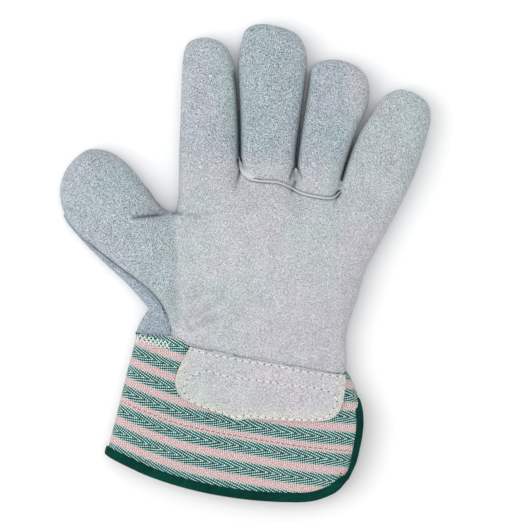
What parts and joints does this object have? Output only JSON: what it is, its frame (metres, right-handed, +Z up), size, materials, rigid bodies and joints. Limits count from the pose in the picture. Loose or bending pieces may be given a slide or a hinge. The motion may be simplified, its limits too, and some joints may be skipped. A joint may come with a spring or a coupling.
{
  "type": "leather work glove",
  "caption": "Left-hand split-leather work glove with striped canvas safety cuff, wing thumb, wrist patch and bending fingers, lying palm up.",
  "frame": {"origin": "under the middle of the glove's box, on the plane it rests on", "axes": "+Z up out of the palm side, +Y from the cuff to the fingertips, +X from the thumb to the little finger"},
  "size_m": [0.201, 0.2642, 0.026],
  "materials": {
    "split_leather": "napped suede split leather, cool pale grey",
    "patch_leather": "napped suede split leather, warmer pale grey with cream cut edges",
    "welt_leather": "narrow cut leather strip, pale",
    "striped_canvas": "starched herringbone cotton canvas, teal green with pink stripes",
    "rubberised_core": "matt rubberised cloth",
    "cotton_lining": "plain unbleached cotton",
    "elastic": "woven elastic band",
    "green_tape": "dark green binding tape"
  },
  "bodies": {
    "palm": {"palm_front": "split_leather", "hand_back": "split_leather", "palm_lining": "cotton_lining", "wrist_elastic": "elastic", "knuckle_strap": "split_leather", "thumb_side_gusset": "split_leather", "finger_base_welt": "welt_leather"},
    "index_lower": {"index_front_lower": "split_leather", "index_back_lower": "split_leather", "index_fork_little_side": "split_leather"},
    "index_upper": {"index_front_upper": "split_leather", "index_back_upper": "split_leather"},
    "middle_lower": {"middle_front_lower": "split_leather", "middle_back_lower": "split_leather", "middle_fork_thumb_side": "split_leather", "middle_fork_little_side": "split_leather"},
    "middle_upper": {"middle_front_upper": "split_leather", "middle_back_upper": "split_leather"},
    "ring_lower": {"ring_front_lower": "split_leather", "ring_back_lower": "split_leather", "ring_fork_thumb_side": "split_leather", "ring_fork_little_side": "split_leather"},
    "ring_upper": {"ring_front_upper": "split_leather", "ring_back_upper": "split_leather"},
    "little_lower": {"little_front_lower": "split_leather", "little_back_lower": "split_leather", "little_fork_thumb_side": "split_leather"},
    "little_upper": {"little_front_upper": "split_leather", "little_back_upper": "split_leather"},
    "thumb_lower": {"thumb_front_lower": "split_leather", "thumb_back_lower": "split_leather"},
    "thumb_upper": {"thumb_front_upper": "split_leather", "thumb_back_upper": "split_leather"},
    "cuff": {"cuff_cloth": "striped_canvas", "cuff_core": "rubberised_core", "cuff_lining": "cotton_lining", "cuff_binding": "green_tape", "wrist_patch": "patch_leather"}
  },
  "joints": [
    {"name": "index_base_bend", "type": "hinge", "parent": "palm", "child": "index_lower", "pos_m": [-0.01868, 0.04396, 0.0205], "axis": [1, 0, 0], "range_deg": [0, 60]},
    {"name": "index_middle_bend", "type": "hinge", "parent": "index_lower", "child": "index_upper", "pos_m": [-0.01868, 0.08596, 0.0205], "axis": [1, 0, 0], "range_deg": [0, 75]},
    {"name": "middle_base_bend", "type": "hinge", "parent": "palm", "child": "middle_lower", "pos_m": [0.01262, 0.04446, 0.0205], "axis": [1, 0, 0], "range_deg": [0, 60]},
    {"name": "middle_middle_bend", "type": "hinge", "parent": "middle_lower", "child": "middle_upper", "pos_m": [0.0138, 0.08946, 0.0205], "axis": [1, 0, 0], "range_deg": [0, 75]},
    {"name": "ring_base_bend", "type": "hinge", "parent": "palm", "child": "ring_lower", "pos_m": [0.03992, 0.04276, 0.0205], "axis": [0.9945, -0.1045, 0], "range_deg": [0, 60]},
    {"name": "ring_middle_bend", "type": "hinge", "parent": "ring_lower", "child": "ring_upper", "pos_m": [0.04767, 0.07774, 0.0205], "axis": [0.9945, -0.1045, 0], "range_deg": [0, 75]},
    {"name": "little_base_bend", "type": "hinge", "parent": "palm", "child": "little_lower", "pos_m": [0.06882, 0.03646, 0.0205], "axis": [0.9833, -0.1822, 0], "range_deg": [0, 60]},
    {"name": "little_middle_bend", "type": "hinge", "parent": "little_lower", "child": "little_upper", "pos_m": [0.07957, 0.06599, 0.0205], "axis": [0.9833, -0.1822, 0], "range_deg": [0, 75]},
    {"name": "thumb_base_bend", "type": "hinge", "parent": "palm", "child": "thumb_lower", "pos_m": [-0.03988, -0.00415, 0.021], "axis": [0, 1, 0], "range_deg": [0, 65]},
    {"name": "thumb_tip_bend", "type": "hinge", "parent": "thumb_lower", "child": "thumb_upper", "pos_m": [-0.07273, 0.0291, 0.021], "axis": [0.8651, 0.5016, 0], "range_deg": [0, 50]},
    {"name": "wrist_bend", "type": "hinge", "parent": "palm", "child": "cuff", "pos_m": [-0.00158, -0.04845, 0.02], "axis": [-0.9839, 0.1788, 0], "range_deg": [0, 60]}
  ]
}
